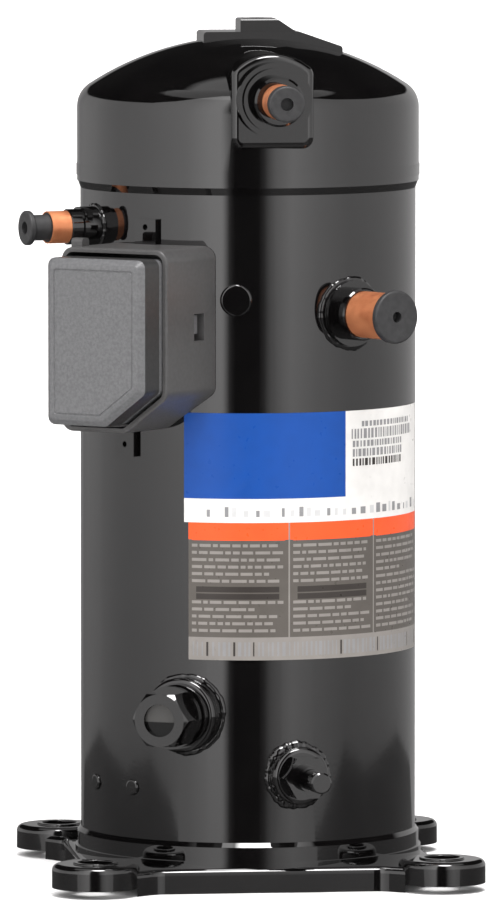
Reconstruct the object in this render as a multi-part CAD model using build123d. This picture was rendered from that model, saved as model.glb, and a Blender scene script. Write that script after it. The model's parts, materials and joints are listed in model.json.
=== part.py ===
"""Hermetic scroll compressor: shell, base, fittings, terminal box and the running gear inside.

Millimetres. Heights are measured from the foot plane, where the base plate's lips stand.
The written parts have their origin on the vertical axis, level with the underside of the base
plate's four ears, which is the face that the mounting grommets press on. +Z is up and the front
of the compressor, with the discharge fitting, faces -Y. An azimuth is counted from the front
towards +X, in degrees.
"""

import os
from math import atan2, cos, pi, radians, sin, sqrt

from build123d import *

# ---- driving dimensions -----------------------------------------------------------------------
SHELL_R = 92.6
SHELL_WALL = 3.0
SHELL_IN = SHELL_R - SHELL_WALL
SHELL_LOW, SHELL_TOP = 19.7, 393.0
CAP_R = 94.4
CAP_WALL = 3.0
CAP_LOW = 385.0
APEX = 464.0
CROWN_R = 160.0
KNUCKLE_R = 15.0
RIM_R = 94.6

SHEET = 4.0
HOLE_SPACING = 190.5
HOLE_R = 9.5
EAR_R = 23.9
EAR_TOP, EAR_LIP = 17.5, 4.5
PLATE_TOP = 13.5
PLATE_RAISED = 16.5
MOUNTING_PLANE = EAR_TOP - SHEET
FLANGE_DISTANCE, FLANGE_HALF = 97.0, 62.0
FLARE_DISTANCE, FLARE_HALF = 115.0, 87.0
DISH_R = 71.0

ORBIT = 4.0
WRAP_WALL = 3.6
WRAP_GAP = 0.35
WRAP_PITCH = 2 * (ORBIT + WRAP_WALL + WRAP_GAP)
WRAP_START, WRAP_END = 3.6, 21.6
HOUSING_LOW, HOUSING_TOP = 268.0, 330.0
THRUST_FACE = 319.7
ORBITING_LOW, ORBITING_TOP = 320.0, 330.0
WRAP_TOP = 355.0
FIXED_LOW, FIXED_FLANGE_TOP = 330.5, 342.0
FIXED_PLATE_LOW, FIXED_PLATE_TOP = 355.3, 374.0
FIXED_WALL_TOP = 389.0
ORBITING_R = 76.0
FIXED_R = 88.9
POST_INNER_R = 82.6
POST_ANGLES = (-11, 79, 169, 259)
POST_HALF_ANGLE = 12
WELDED_POSTS = (-11, 169, 259)
WELD_HEIGHT = 324.0

JOURNAL_R, PIN_R, SHAFT_R, LOWER_R = 14.0, 9.0, 13.0, 11.0
RUNNING = 0.05
STATOR_LOW, STATOR_TOP = 125.0, 215.0
ROTOR_R, STATOR_BORE_R = 45.7, 46.4
SLOTS = 24

LOWER_ARM_ANGLES = (-60.5, 106.0, 199.5)
LOWER_WELD_HEIGHT = 55.0

# fittings: azimuth, height, and distances from the axis along the fitting
DISCHARGE_AZ, DISCHARGE_Z = 1.2, 433.2
DISCHARGE_TUBE_R, DISCHARGE_SOCKET_R = 9.7, 7.975
DISCHARGE_MOUTH, DISCHARGE_PLUG_FRONT = 139.5, 148.0
SUCTION_AZ, SUCTION_Z = 30.0, 315.8
SUCTION_TUBE_R, SUCTION_SOCKET_R = 12.7, 11.15
SUCTION_MOUTH, SUCTION_PLUG_FRONT = 130.5, 134.6
INJECTION_AZ, INJECTION_Z = -72.0, 361.3
INJECTION_TUBE_R, INJECTION_SOCKET_R = 8.9, 7.975
INJECTION_MOUTH, INJECTION_PLUG_BACK, INJECTION_PLUG_FRONT = 121.5, 131.4, 134.8
SOCKET_DEPTH, MOUTH_DEPTH = 24.0, 7.0
PAD_PLANE = 96.5
PAD_HALF, PAD_TOP, PAD_FOOT, PAD_ARCH_R = 22.5, 25.0, 26.7, 32.0
PAD_ROOT, PAD_CORNER, PAD_EDGE = 40.0, 6.0, 3.5
GLASS_AZ, GLASS_Z = -28.5, 97.3
VALVE_AZ, VALVE_Z = 10.0, 64.0

# lifting bracket on the crown: places along X, heights, half widths and sheet thickness
LIFT_LEFT, LIFT_RIGHT, LIFT_SLOPE_END, LIFT_HALF = -26.6, 50.5, 26.5, 17.0
LIFT_STRIP_TOP, LIFT_WING_TOP, LIFT_TOP, LIFT_GAUGE = 467.0, 458.6, 474.0, 2.6
EYE_LEFT, EYE_RIGHT, EYE_HALF, EYE_R = -5.6, 14.5, 12.0, 5.0
CROWN_UNDER = 440.0

# terminal box: heights, half width, and distances from the axis
BOX_AZ = -39.5
BOX_LOW, BOX_HIGH = 253.3, 353.6
BOX_HALF = 34.2
BOX_FRONT = 135.5
BOX_WALL = 2.6
BOX_CUT_X, BOX_CUT_Z = 27.0, 20.0
COVER_BACK, COVER_FRONT = 138.0, 155.9
COVER_SIDE_STEP, COVER_END_STEP = 2.8, 4.7
COVER_CHAMFER = 3.2
LATCH_LOW, LATCH_HIGH = 302.8, 317.6
LATCH_BACK, LATCH_FRONT = 98.0, 108.0
CONDUIT_X, CONDUIT_D, CONDUIT_R = -13.0, 119.0, 11.1
TERMINAL_Z = 302.5

LABEL_LOW, LABEL_HIGH = 127.3, 262.4
LABEL_FROM, LABEL_TO = -29.0, 75.0

UP = (Align.CENTER, Align.CENTER, Align.MIN)


# ---- helpers ----------------------------------------------------------------------------------
def rod(radius, low, high):
    """A cylinder on the local Z axis."""
    return Pos(0, 0, low) * Cylinder(radius, high - low, align=UP)


def ring(outer, inner, low, high):
    return rod(outer, low, high) - rod(inner, low - 1, high + 1)


def block(x0, x1, y0, y1, z0, z1):
    return Pos((x0 + x1) / 2, (y0 + y1) / 2, (z0 + z1) / 2) * Box(x1 - x0, y1 - y0, z1 - z0)


def hexagon(across_flats, low, high):
    prism = extrude(RegularPolygon(across_flats / sqrt(3), 6), high - low)
    return Pos(0, 0, low) * prism


def outward(azimuth, height):
    """Frame on the axis: local Z points out of the shell, X along it to the right, Y up."""
    a = radians(azimuth)
    plane = Plane(origin=(0, 0, height), x_dir=(cos(a), sin(a), 0), z_dir=(sin(a), -cos(a), 0))
    return plane.location


def turned(points):
    """Solid of revolution about Z of a closed (radius, height) outline."""
    return revolve(Plane.XZ * make_face(Polyline(*points, close=True)), Axis.Z)


def sector(outer, inner, low, high, middle, half_angle):
    """Part of a ring between two azimuths."""
    reach = outer * 2
    fan = [(0, 0)]
    for step in (-1, -0.5, 0, 0.5, 1):
        a = radians(middle + step * half_angle)
        fan.append((reach * sin(a), -reach * cos(a)))
    wedge = Pos(0, 0, low - 1) * extrude(make_face(Polyline(*fan, close=True)), high - low + 2)
    return ring(outer, inner, low, high) & wedge


def write(node, *solids):
    """Write one node with its origin lifted to the mounting plane."""
    lifted = [Pos(0, 0, -MOUNTING_PLANE) * solid for solid in solids]
    shape = lifted[0] if len(lifted) == 1 else Compound(children=lifted)
    export_step(shape, f"parts/{node}.step")


# ---- shell ------------------------------------------------------------------------------------
def cap_solid(inset, low):
    """The cap's outer form, filled: a cylinder, a knuckle and a crown, offset inwards by inset."""
    knuckle_z = APEX - CROWN_R + sqrt((CROWN_R - KNUCKLE_R) ** 2 - (CAP_R - KNUCKLE_R) ** 2)
    turn = atan2(knuckle_z - (APEX - CROWN_R), CAP_R - KNUCKLE_R)

    def on_knuckle(a):
        r = KNUCKLE_R - inset
        return (CAP_R - KNUCKLE_R + r * cos(a), knuckle_z + r * sin(a))

    def on_crown(a):
        r = CROWN_R - inset
        return (r * cos(a), APEX - CROWN_R + r * sin(a))

    side = Line((CAP_R - inset, low), on_knuckle(0))
    knuckle = ThreePointArc(on_knuckle(0), on_knuckle(turn / 2), on_knuckle(turn))
    crown = ThreePointArc(on_crown(turn), on_crown((turn + pi / 2) / 2), (0, APEX - inset))
    axis = Line((0, APEX - inset), (0, low))
    floor = Line((0, low), (CAP_R - inset, low))
    outline = make_face([side, knuckle, crown, axis, floor])
    return revolve(Plane.XZ * outline, Axis.Z)


def discharge_pad():
    """Pressed flat on the cap's front round the discharge fitting, with a flat arch on top."""
    shoulder = PAD_TOP - PAD_ARCH_R + sqrt(PAD_ARCH_R**2 - PAD_HALF**2)
    corners = [(-PAD_HALF, shoulder), (-PAD_HALF, -PAD_FOOT), (PAD_HALF, -PAD_FOOT), (PAD_HALF, shoulder)]
    foot = Polyline(*corners)
    arch = ThreePointArc((PAD_HALF, shoulder), (0, PAD_TOP), (-PAD_HALF, shoulder))
    face = make_face([foot, arch])
    face = fillet(face.vertices(), PAD_CORNER)
    pad = Pos(0, 0, PAD_ROOT) * extrude(face, PAD_PLANE - PAD_ROOT)
    pad = fillet(pad.edges().group_by(Axis.Z)[-1], PAD_EDGE)
    return outward(DISCHARGE_AZ, DISCHARGE_Z) * pad


def top_cap():
    body = cap_solid(0, CAP_LOW) + ring(CAP_R + 0.4, CAP_R - 1, 388, 394) + discharge_pad()
    body -= cap_solid(CAP_WALL, CAP_LOW - 1)
    body -= rod(SHELL_R + 0.05, CAP_LOW - 1, 398)
    body -= outward(DISCHARGE_AZ, DISCHARGE_Z) * rod(12.6, 60, 120)
    return body


def mid_shell():
    body = ring(SHELL_R, SHELL_IN, SHELL_LOW, SHELL_TOP)
    for azimuth, height, radius in (
        (SUCTION_AZ, SUCTION_Z, SUCTION_TUBE_R + 0.05),
        (INJECTION_AZ, INJECTION_Z, INJECTION_TUBE_R + 0.05),
        (GLASS_AZ, GLASS_Z, 12.0),
        (VALVE_AZ, VALVE_Z, 9.0),
        (BOX_AZ, TERMINAL_Z, 20.5),
    ):
        body -= outward(azimuth, height) * rod(radius, 70, 110)
    return body


def bottom_cap():
    rim = [(RIM_R, PLATE_RAISED), (RIM_R, 24.5), (SHELL_R + 0.1, 24.5), (SHELL_R + 0.1, 19.5)]
    dish = [(66, 19.5), (52, 11), (0, 9), (0, 6), (53, 8), (68, PLATE_RAISED)]
    return turned(rim + dish)


# ---- base plate -------------------------------------------------------------------------------
def ear_centres():
    half = HOLE_SPACING / 2
    return [(sx * half, sy * half) for sx in (-1, 1) for sy in (-1, 1)]


def plate_outline():
    side = [
        (-FLARE_HALF, -FLARE_DISTANCE),
        (-FLANGE_HALF, -FLANGE_DISTANCE),
        (FLANGE_HALF, -FLANGE_DISTANCE),
        (FLARE_HALF, -FLARE_DISTANCE),
    ]
    points = []
    for quarter in range(4):
        a = quarter * pi / 2
        points += [(x * cos(a) - y * sin(a), x * sin(a) + y * cos(a)) for x, y in side]
    return make_face(Polyline(*points, close=True))


def base_plate():
    outline = plate_outline()
    bends = [v for v in outline.vertices() if abs(abs(v.X) - FLANGE_HALF) < 1e-3]
    bends += [v for v in outline.vertices() if abs(abs(v.Y) - FLANGE_HALF) < 1e-3]
    outline = fillet(bends, 14)
    plate = extrude(outline, PLATE_TOP)
    plate = fillet(plate.edges().group_by(Axis.Z)[-1], 3.5)
    hollow = Pos(0, 0, -1) * extrude(offset(outline, -SHEET), PLATE_TOP - SHEET + 1)
    ear = rod(EAR_R, EAR_LIP, EAR_TOP)
    ear = fillet(ear.edges().group_by(Axis.Z)[-1], 3.5)
    rim = ring(HOLE_R + 3, HOLE_R, EAR_TOP - 1, EAR_TOP + 0.8)
    rim = fillet(rim.edges().group_by(Axis.Z)[-1], 0.6)
    for x, y in ear_centres():
        plate -= Pos(x, y) * rod(EAR_R, -1, EAR_LIP)
        plate += Pos(x, y) * ear
    plate -= hollow
    for x, y in ear_centres():
        plate -= Pos(x, y) * rod(EAR_R - SHEET, -1, EAR_TOP - SHEET)
        plate += Pos(x, y) * rim
        plate -= Pos(x, y) * rod(HOLE_R, 0, EAR_TOP + 5)
    plate += ring(95.8, DISH_R, PLATE_TOP - SHEET, PLATE_RAISED)
    return plate - rod(DISH_R, -1, PLATE_RAISED + 1)


def lifting_bracket():
    """Pressed bracket welded on the crown: a skirted strip with a drooping wing and a raised eye."""
    strip_outline = [
        (LIFT_LEFT, CROWN_UNDER),
        (LIFT_LEFT, LIFT_STRIP_TOP),
        (LIFT_SLOPE_END, LIFT_STRIP_TOP),
        (LIFT_RIGHT, LIFT_WING_TOP),
        (LIFT_RIGHT, CROWN_UNDER),
    ]
    face = make_face(Polyline(*strip_outline, close=True))
    inside = offset(face, -LIFT_GAUGE)
    face = fillet(face.vertices().filter_by(lambda v: v.Y > CROWN_UNDER), 2)
    strip = extrude(Plane.XZ * face, LIFT_HALF, both=True)
    room = extrude(Plane.XZ * inside, LIFT_HALF - LIFT_GAUGE, both=True)

    inner = LIFT_STRIP_TOP - 1
    hat_outline = [
        (EYE_LEFT, inner),
        (EYE_LEFT, LIFT_TOP),
        (EYE_RIGHT, LIFT_TOP),
        (LIFT_SLOPE_END, inner),
    ]
    hat = extrude(Plane.XZ * make_face(Polyline(*hat_outline, close=True)), EYE_HALF, both=True)
    hat = fillet(hat.edges().group_by(Axis.Z)[-1], 1.6)
    under = LIFT_TOP - LIFT_GAUGE
    hollow = [
        (EYE_LEFT + LIFT_GAUGE, APEX),
        (EYE_LEFT + LIFT_GAUGE, under),
        (EYE_RIGHT - 1, under),
        (EYE_RIGHT + 4, inner),
        (EYE_RIGHT + 4, APEX),
    ]
    hat_room = make_face(Polyline(*hollow, close=True))
    room += extrude(Plane.XZ * hat_room, EYE_HALF - LIFT_GAUGE, both=True)
    eye = Pos((EYE_LEFT + EYE_RIGHT) / 2, 0) * rod(EYE_R, under - 1, LIFT_TOP + 1)
    return strip + hat - room - eye - cap_solid(-0.02, CROWN_UNDER - 1)


def welds():
    """Weld beads round both seams and the plug welds that hold the housing and the lower bearing."""
    beads = [
        turned([(SHELL_R + 0.05, CAP_LOW - 0.05), (CAP_R - 0.3, CAP_LOW - 0.05), (SHELL_R + 0.05, 381)]),
        turned([(SHELL_R + 0.05, 24.55), (RIM_R - 0.2, 24.55), (SHELL_R + 0.05, 27)]),
    ]
    for azimuth in WELDED_POSTS:
        beads.append(plug_weld(azimuth, WELD_HEIGHT, 8.8, 1.8))
    for arm in LOWER_ARM_ANGLES:
        for side in (-10.5, 10.5):
            beads.append(plug_weld(arm + side, LOWER_WELD_HEIGHT, 4.4, 1.3))
    return beads


def plug_weld(azimuth, height, radius, proud):
    face = SHELL_R + proud
    button = rod(radius, 80, face)
    button = fillet(button.edges().group_by(Axis.Z)[-1], proud * 0.8)
    return outward(azimuth, height) * button - rod(SHELL_R + 0.02, 0, APEX)


# ---- refrigerant fittings ---------------------------------------------------------------------
def cut_by_shell(body):
    return body - rod(SHELL_R + 0.02, 0, APEX)


def discharge_parts():
    place = outward(DISCHARGE_AZ, DISCHARGE_Z)
    fitting = rod(20.4, PAD_PLANE, 103.5) + rod(17.6, 103, 107) + rod(13.6, 106, 121)
    fitting = chamfer(fitting.edges().filter_by(GeomType.CIRCLE).group_by(Axis.Z)[-1], 1.2)
    fitting += rod(12.5, 88, 101)
    fitting -= rod(DISCHARGE_TUBE_R + 0.1, 80, 130)
    stub = socket_stub(DISCHARGE_TUBE_R, DISCHARGE_SOCKET_R, 88, DISCHARGE_MOUTH)
    plug = socket_plug(DISCHARGE_SOCKET_R, 9.8, DISCHARGE_MOUTH, DISCHARGE_PLUG_FRONT, 3.5)
    return place * fitting, place * stub, place * plug


def suction_parts():
    place = outward(SUCTION_AZ, SUCTION_Z)
    bore = place * rod(SUCTION_TUBE_R + 0.05, 80, 110)
    saddle = cut_by_shell(place * rod(18, 80, 96.5))
    collar = rod(14.4, 86, 105.4)
    collar = chamfer(collar.edges().group_by(Axis.Z)[-1], 0.8)
    fitting = saddle + cut_by_shell(place * collar) - bore
    stub = place * socket_stub(SUCTION_TUBE_R, SUCTION_SOCKET_R, 89.8, SUCTION_MOUTH)
    plug = place * socket_plug(SUCTION_SOCKET_R, 14.5, SUCTION_MOUTH, SUCTION_PLUG_FRONT, 3.0)
    return fitting, stub, plug


def injection_parts():
    place = outward(INJECTION_AZ, INJECTION_Z)
    body = rod(11, 80, 103) + rod(9.8, 102, 110)
    body = chamfer(body.edges().filter_by(GeomType.CIRCLE).group_by(Axis.Z)[-1], 0.5)
    fitting = cut_by_shell(place * body) - place * rod(INJECTION_TUBE_R + 0.05, 70, 120)
    stub = place * socket_stub(INJECTION_TUBE_R, INJECTION_SOCKET_R, 85, INJECTION_MOUTH)
    stem = rod(INJECTION_SOCKET_R, INJECTION_MOUTH - MOUTH_DEPTH + 0.6, INJECTION_MOUTH)
    neck = rod(7.1, INJECTION_MOUTH - 1, INJECTION_PLUG_BACK + 1)
    flange = rod(9.5, INJECTION_PLUG_BACK, INJECTION_PLUG_FRONT)
    flange = fillet(flange.edges().filter_by(GeomType.CIRCLE), 1.0)
    plug = stem + neck + flange - rod(3.6, INJECTION_PLUG_FRONT - 5, INJECTION_PLUG_FRONT + 1)
    return fitting, stub, place * plug


def socket_stub(outer, socket, back, mouth):
    """Copper stub: a socket for the field pipe behind a slightly wider mouth."""
    tube = rod(outer, back, mouth) - rod(socket, mouth - SOCKET_DEPTH, mouth + 1)
    tube -= rod(socket + 0.3, mouth - MOUTH_DEPTH, mouth + 1)
    return tube - rod(socket - 1.3, back - 1, mouth)


def socket_plug(stem, flange, back, front, hole):
    """Rubber transit plug: a head outside and a short stem in the stub's mouth."""
    head = rod(flange, back, front)
    head = fillet(head.edges().filter_by(GeomType.CIRCLE), 1.2)
    body = head + rod(stem, back - MOUTH_DEPTH + 0.6, back + 2)
    return body - rod(hole, front - 5, front + 1)


# ---- sight glass and oil valve ----------------------------------------------------------------
def sight_glass_parts():
    place = outward(GLASS_AZ, GLASS_Z)
    boss = rod(20.5, 70, 103)
    boss = fillet(boss.edges().group_by(Axis.Z)[-1], 2.5) + rod(17.7, 100, 109)
    boss -= rod(11.9, 60, 120)
    boss = cut_by_shell(place * boss)
    nut = rod(15.2, 109, 113) + rod(17.2, 112.5, 116.5) + hexagon(28.5, 116, 131.6)
    nut &= turned([(0, 105), (20, 105), (20, 126), (14.2, 131.7), (0, 131.7)])
    nut += rod(11.8, 96, 110)
    nut -= rod(8.9, 90, 140)
    nut -= rod(10.4, 122, 129)
    window = rod(10.35, 125, 128.9)
    seal = ring(10.3, 8.95, 122.1, 124.9)
    return boss, place * nut, place * window, place * seal


def oil_valve_parts():
    place = outward(VALVE_AZ, VALVE_Z)
    boss = rod(16, 70, 101)
    boss = fillet(boss.edges().group_by(Axis.Z)[-1], 3) - rod(8.9, 60, 120)
    boss = cut_by_shell(place * boss)
    body = rod(8.85, 86, 101.2) + hexagon(22, 101.2, 112) + rod(7.2, 111, 119) + rod(4.6, 118, 132)
    body -= rod(2.6, 80, 140)
    core = rod(0.9, 118, 131) + rod(2.2, 117.4, 119.4)
    cap = rod(5.8, 120, 137) - rod(4.95, 119, 134)
    cap = chamfer(cap.edges().filter_by(GeomType.CIRCLE).group_by(Axis.Z)[-1], 0.8)
    return boss, place * body, place * core, place * cap


# ---- terminal box -----------------------------------------------------------------------------
def box_prism(side_step, end_step, back, front, corner=4.0):
    """Prism of the box's front outline, drawn in by the two steps, with its low right corner cut off."""
    half = BOX_HALF - side_step
    low = BOX_LOW - TERMINAL_Z + end_step
    high = BOX_HIGH - TERMINAL_Z - end_step
    slant = sqrt(1 / BOX_CUT_X**2 + 1 / BOX_CUT_Z**2)
    share = 1 + side_step * (slant - 1 / BOX_CUT_X - 1 / BOX_CUT_Z)
    cut_x, cut_z = BOX_CUT_X * share, BOX_CUT_Z * share
    points = [(-half, low), (half - cut_x, low), (half, low + cut_z), (half, high), (-half, high)]
    outline = make_face(Polyline(*points, close=True))
    return Pos(0, 0, back) * extrude(fillet(outline.vertices(), corner), front - back)


def terminal_box_base():
    place = outward(BOX_AZ, TERMINAL_Z)
    body = box_prism(0, 0, 80, BOX_FRONT, 7)
    body = fillet(body.edges().group_by(Axis.Z)[-1], 1.2)
    body -= box_prism(BOX_WALL, BOX_WALL, 99, BOX_FRONT + 5, 5)
    body -= rod(24, 70, 110)
    body -= block(20, 40, LATCH_LOW - TERMINAL_Z, LATCH_HIGH - TERMINAL_Z, LATCH_BACK, LATCH_FRONT)
    body -= Pos(CONDUIT_X, BOX_LOW - TERMINAL_Z, CONDUIT_D) * Rot(90, 0, 0) * rod(CONDUIT_R, -10, 10)
    body -= Pos(-20, -34) * rod(2.45, 90, 105)
    lug = block(-31, -24, BOX_HIGH - TERMINAL_Z - 1, BOX_HIGH - TERMINAL_Z + 4.5, 123, 130)
    lug = fillet(lug.edges().filter_by(Axis.X).group_by(Axis.Y)[-1], 2)
    return place * (body + lug) - rod(SHELL_R + 0.6, 0, APEX)


def terminal_cover():
    side, end, wall = COVER_SIDE_STEP, COVER_END_STEP, 3.0
    shell = box_prism(side, end, COVER_BACK, COVER_FRONT, 4.5)
    shell = chamfer(shell.edges().group_by(Axis.Z)[-1], COVER_CHAMFER)
    shell -= box_prism(side + wall, end + wall, COVER_BACK - 1, COVER_FRONT - wall, 3)
    tongue = box_prism(side + 0.4, end + 0.4, 129, COVER_BACK + 1)
    tongue -= box_prism(side + 2, end + 2, 128, COVER_BACK + 2)
    reach = BOX_HALF - side - 0.4
    arms = block(-reach, 2 - reach, 4, 14, 100, 132) + block(reach - 2, reach, 4, 14, 100, 132)
    return outward(BOX_AZ, TERMINAL_Z) * (shell + tongue + arms)


def terminal_gasket():
    place = outward(BOX_AZ, TERMINAL_Z)
    return place * ring(29, 25, 60, 120) & ring(SHELL_R + 0.55, SHELL_R + 0.05, 200, 400)


def terminal_brackets():
    """Two welded tabs that carry the box, above it and below it."""
    tabs = []
    for azimuth, low, high, eye in ((-43, 340, 367.4, 363.0), (-52, 237, 266, 243.6)):
        tab = block(-7, 7, low - TERMINAL_Z, high - TERMINAL_Z, 88, 95.4)
        hole = Pos(0, eye - TERMINAL_Z) * rod(1.6, 80, 110)
        tabs.append(cut_by_shell(outward(azimuth, TERMINAL_Z) * (tab - hole)))
    return [tab - terminal_box_base() for tab in tabs]


def terminal_parts():
    """Hermetic terminal in the shell wall, its three pins in glass beads, and the block on them."""
    place = outward(BOX_AZ, TERMINAL_Z)
    spots = [(9 * cos(radians(a)), 9 * sin(radians(a))) for a in (90, 210, 330)]
    cup = rod(20.4, 88.2, 95) - rod(18.2, 90.5, 96)
    pins, beads = [], []
    for x, y in spots:
        cup -= Pos(x, y) * rod(3.4, 80, 100)
        beads.append(place * Pos(x, y) * ring(3.38, 1.62, 88, 92))
        pins.append(place * Pos(x, y) * rod(1.6, 84.6, 106))
    block_body = rod(17.5, 97, 111)
    block_body = fillet(block_body.edges().group_by(Axis.Z)[-1], 1.5)
    for x, y in spots:
        block_body -= Pos(x, y) * rod(1.75, 90, 120)
        block_body -= Pos(x, y) * rod(4.2, 106.5, 120)
    nuts = [place * Pos(x, y) * (hexagon(6.4, 103.0 + 3.6, 109) - rod(1.62, 100, 110)) for x, y in spots]
    return place * cup, pins, beads, place * block_body, nuts


def ground_screw():
    place = outward(BOX_AZ, TERMINAL_Z)
    screw = hexagon(8, 99.1, 103) + rod(2.4, 95, 99.5)
    return place * Pos(-20, -34) * (screw - block(-3, 3, -0.5, 0.5, 102, 104))


# ---- scroll set -------------------------------------------------------------------------------
def involute(angle, shift):
    """Point of a circle involute whose string is longer by shift."""
    base = WRAP_PITCH / (2 * pi)
    length = base * angle + shift
    return (base * cos(angle) + length * sin(angle), base * sin(angle) - length * cos(angle))


def wrap(low, high, end):
    steps = 60
    angles = [WRAP_START + (end - WRAP_START) * i / steps for i in range(steps + 1)]
    outer = [involute(a, WRAP_WALL / 2) for a in angles]
    inner = [involute(a, -WRAP_WALL / 2) for a in angles]
    edges = [Spline(*outer), Line(outer[-1], inner[-1]), Spline(*inner), Line(inner[0], outer[0])]
    return Pos(0, 0, low) * extrude(make_face(edges), high - low)


def orbiting_scroll():
    body = rod(ORBITING_R, ORBITING_LOW, ORBITING_TOP)
    body += ring(21.5, 16.02, 303, ORBITING_LOW + 1)
    body += Rot(0, 0, 180) * wrap(ORBITING_TOP - 0.5, WRAP_TOP, WRAP_END)
    key_slot = block(-8.6, 8.6, 62, 90, ORBITING_LOW - 1, 325.2)
    body -= key_slot + mirror(key_slot, Plane.XZ)
    return Pos(0, ORBIT) * body


def fixed_scroll():
    body = ring(FIXED_R, 77, FIXED_LOW, FIXED_FLANGE_TOP)
    body += ring(80, 73, FIXED_LOW, FIXED_PLATE_TOP) + rod(80, FIXED_PLATE_LOW, FIXED_PLATE_TOP)
    body += wrap(FIXED_LOW + 0.2, FIXED_PLATE_LOW + 0.5, WRAP_END + 0.8)
    for outer in (52, 26):
        body += ring(outer, outer - 4, FIXED_PLATE_TOP - 1, FIXED_WALL_TOP)
    body -= rod(6.5, 340, 400)
    for azimuth in POST_ANGLES:
        body -= outward(azimuth, 0) * Pos(0, 0, 85.75) * Rot(90, 0, 0) * rod(2.9, -345, -320)
    for azimuth in (34, 214):
        body -= sector(90, 70, 343, 354.5, azimuth, 22)
    return body - outward(INJECTION_AZ, INJECTION_Z) * rod(3.9, 66, 90)


def scroll_bolts():
    bolts = []
    for azimuth in POST_ANGLES:
        a = radians(azimuth)
        shank = rod(2.5, 318, 343.5) + rod(3.6, 343.3, 347.5)
        bolts.append(Pos(85.75 * sin(a), -85.75 * cos(a)) * shank)
    return bolts


def oldham_ring():
    low, high = 314.4, 319.2
    body = ring(78, 66.5, low, high)
    up = block(-4, 4, 67, 73, low, 324.5)
    down = block(67.5, 76.5, -4, 4, 308.6, low + 1)
    return body + up + mirror(up, Plane.XZ) + down + mirror(down, Plane.YZ)


def main_bearing_housing():
    body = turned([
        (16.52, HOUSING_LOW), (28, HOUSING_LOW), (31, 290), (POST_INNER_R, 300), (FIXED_R, 300),
        (FIXED_R, HOUSING_TOP), (POST_INNER_R, HOUSING_TOP), (POST_INNER_R, 314), (62, 314),
        (62, THRUST_FACE), (26, THRUST_FACE), (26, 298), (16.52, 298),
    ])
    for azimuth in POST_ANGLES:
        body -= sector(95, POST_INNER_R - 0.5, 314, 340, azimuth + 45, 45 - POST_HALF_ANGLE)
        a = radians(azimuth)
        body -= Pos(85.75 * sin(a), -85.75 * cos(a)) * rod(2.52, 317, 340)
    body -= sector(95, 83.2, 290, 340, BOX_AZ, 17) + sector(95, 84, 290, 340, SUCTION_AZ, 10)
    slot = block(62.5, 81.5, -4.4, 4.4, 308.2, 316)
    body -= slot + mirror(slot, Plane.YZ)
    for turn in range(6):
        body -= Rot(0, 0, 60 * turn + 15) * Pos(46, 0) * rod(6, 280, 313)
    return body


# ---- crankshaft and motor ---------------------------------------------------------------------
def crankshaft():
    body = rod(LOWER_R, 46, 100) + rod(16, 72.1, 76) + rod(SHAFT_R, 76, 262)
    body += rod(JOURNAL_R, 262, 298.6) + rod(17.5, 298.5, 301.6)
    body += Pos(0, ORBIT) * rod(PIN_R, 301, 316.5)
    return body - Pos(0, 1.5) * rod(2.5, 40, 320)


def half_ring(outer, inner, low, high, towards):
    side = Pos(0, towards * outer, (low + high) / 2) * Box(3 * outer, 2 * outer, high - low + 2)
    return ring(outer, inner, low, high) & side


def rotor_parts():
    core = ring(ROTOR_R, SHAFT_R + 0.02, STATOR_LOW, STATOR_TOP)
    rings = [ring(44, 22, STATOR_TOP, STATOR_TOP + 6), ring(44, 22, STATOR_LOW - 6, STATOR_LOW)]
    upper = half_ring(41, 17, STATOR_TOP + 6.02, 241, -1)
    lower = half_ring(41, 17, 102, STATOR_LOW - 6.02, 1)
    return core, rings, upper, lower


def slot_shape(clearance, low, high):
    """One winding slot, wider towards the outside."""
    inner, outer = 50.5 + clearance, 70.0 - clearance
    half_in, half_out = 3.4 - clearance, 5.6 - clearance
    points = [(inner, -half_in), (outer, -half_out), (outer, half_out), (inner, half_in)]
    return Pos(0, 0, low) * extrude(make_face(Polyline(*points, close=True)), high - low)


def stator_parts():
    core = ring(SHELL_IN - 0.1, STATOR_BORE_R, STATOR_LOW, STATOR_TOP)
    windings = ring(75, 50.6, STATOR_TOP + 0.3, 246) + ring(75, 50.6, 95, STATOR_LOW - 0.3)
    windings = fillet(windings.edges().filter_by(GeomType.CIRCLE), 5)
    for index in range(SLOTS):
        turn = Rot(0, 0, index * 360 / SLOTS)
        core -= turn * slot_shape(0, STATOR_LOW - 1, STATOR_TOP + 1)
        core -= turn * block(45, 52, -1.2, 1.2, STATOR_LOW - 1, STATOR_TOP + 1)
        windings += turn * slot_shape(0.35, STATOR_LOW - 8, STATOR_TOP + 8)
    for index in range(4):
        turn = Rot(0, 0, index * 90 + 30)
        core -= turn * Pos(SHELL_IN + 2, 0) * rod(8, STATOR_LOW - 1, STATOR_TOP + 1)
    return core, windings


def lower_bearing_bracket():
    body = ring(22, LOWER_R + 2.52, 50, 70)
    for azimuth in LOWER_ARM_ANGLES:
        body += outward(azimuth, 0) * block(-10, 10, 60, 66, 20, 87)
        body += sector(SHELL_IN - 0.1, SHELL_IN - 4, 44, 66, azimuth, 15)
    return body


def oil_pickup():
    outline = [(0, 45.9), (10, 45.9), (10, 36), (5.5, 22), (3.5, 22), (7.5, 37), (7.5, 43), (0, 43)]
    return turned(outline)


def internal_leads():
    """Three leads from the terminal pins down to the upper end turns."""
    leads = []
    for azimuth, top in ((BOX_AZ - 5.6, 298), (BOX_AZ, 311.5), (BOX_AZ + 5.6, 298)):
        a = radians(azimuth)
        drop = Pos(86 * sin(a), -86 * cos(a)) * rod(1.3, 236, top - 3)
        run = outward(azimuth, 237.5) * rod(1.3, 75.4, 86)
        leads.append(drop + run)
    return leads


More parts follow.
